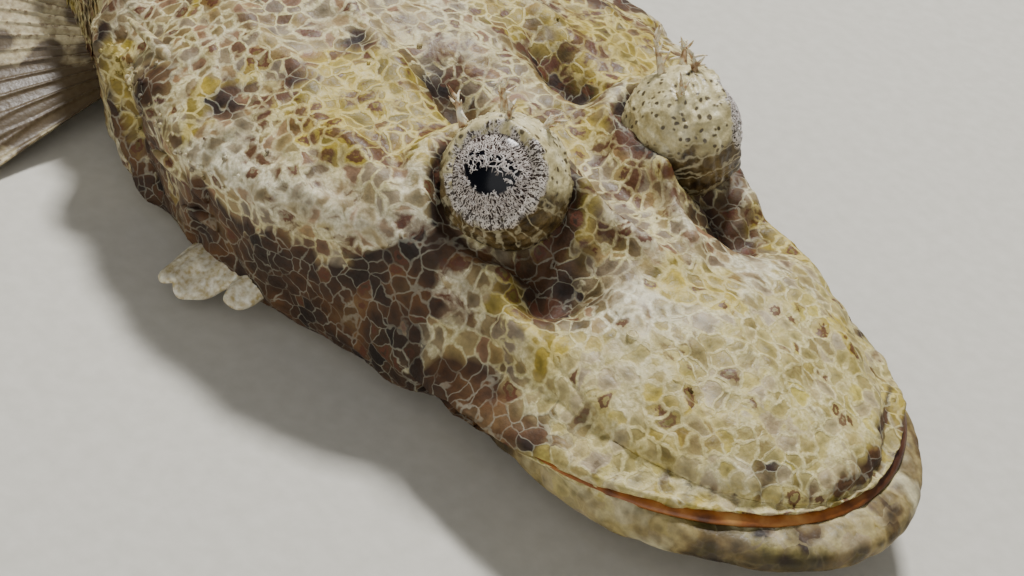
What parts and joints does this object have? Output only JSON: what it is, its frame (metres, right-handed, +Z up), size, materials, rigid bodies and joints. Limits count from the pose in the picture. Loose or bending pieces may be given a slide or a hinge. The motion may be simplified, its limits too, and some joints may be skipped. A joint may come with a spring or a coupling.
{
  "type": "crocodile flathead fish model",
  "caption": "Life-size still model of a crocodile flathead lying on its belly, with raised eyes, a broad flat head, long jaws and spread fins.",
  "frame": {"origin": "middle of the flat of the belly on the floor, under the base of the pectoral fins", "axes": "+X along the fish towards the snout, +Y to the fish's left, +Z up"},
  "size_m": [0.4969, 0.191, 0.0712],
  "materials": {
    "mottled_skin": "matt, slightly moist skin, cream net over grey-tan and olive",
    "jaw_skin": "matt, slightly moist skin, mottled tan and brown",
    "eye": "moist, veined skin around a silvery iris and a black pupil",
    "fin_skin": "thin mottled skin over bony rays"
  },
  "bodies": {
    "root": {"anal_fin": "fin_skin", "cheek_flap_left": "mottled_skin", "cheek_flap_right": "mottled_skin", "eye_left": "eye", "eye_right": "eye", "first_dorsal_fin": "fin_skin", "gill_cover_left": "mottled_skin", "gill_cover_right": "mottled_skin", "head": "mottled_skin", "lower_jaw": "jaw_skin", "pectoral_fin_left": "fin_skin", "pectoral_fin_right": "fin_skin", "pelvic_fin_left": "fin_skin", "pelvic_fin_right": "fin_skin", "second_dorsal_fin": "fin_skin", "tail": "mottled_skin", "tail_fin": "fin_skin", "tail_stalk": "mottled_skin", "trunk": "mottled_skin"}
  },
  "joints": []
}
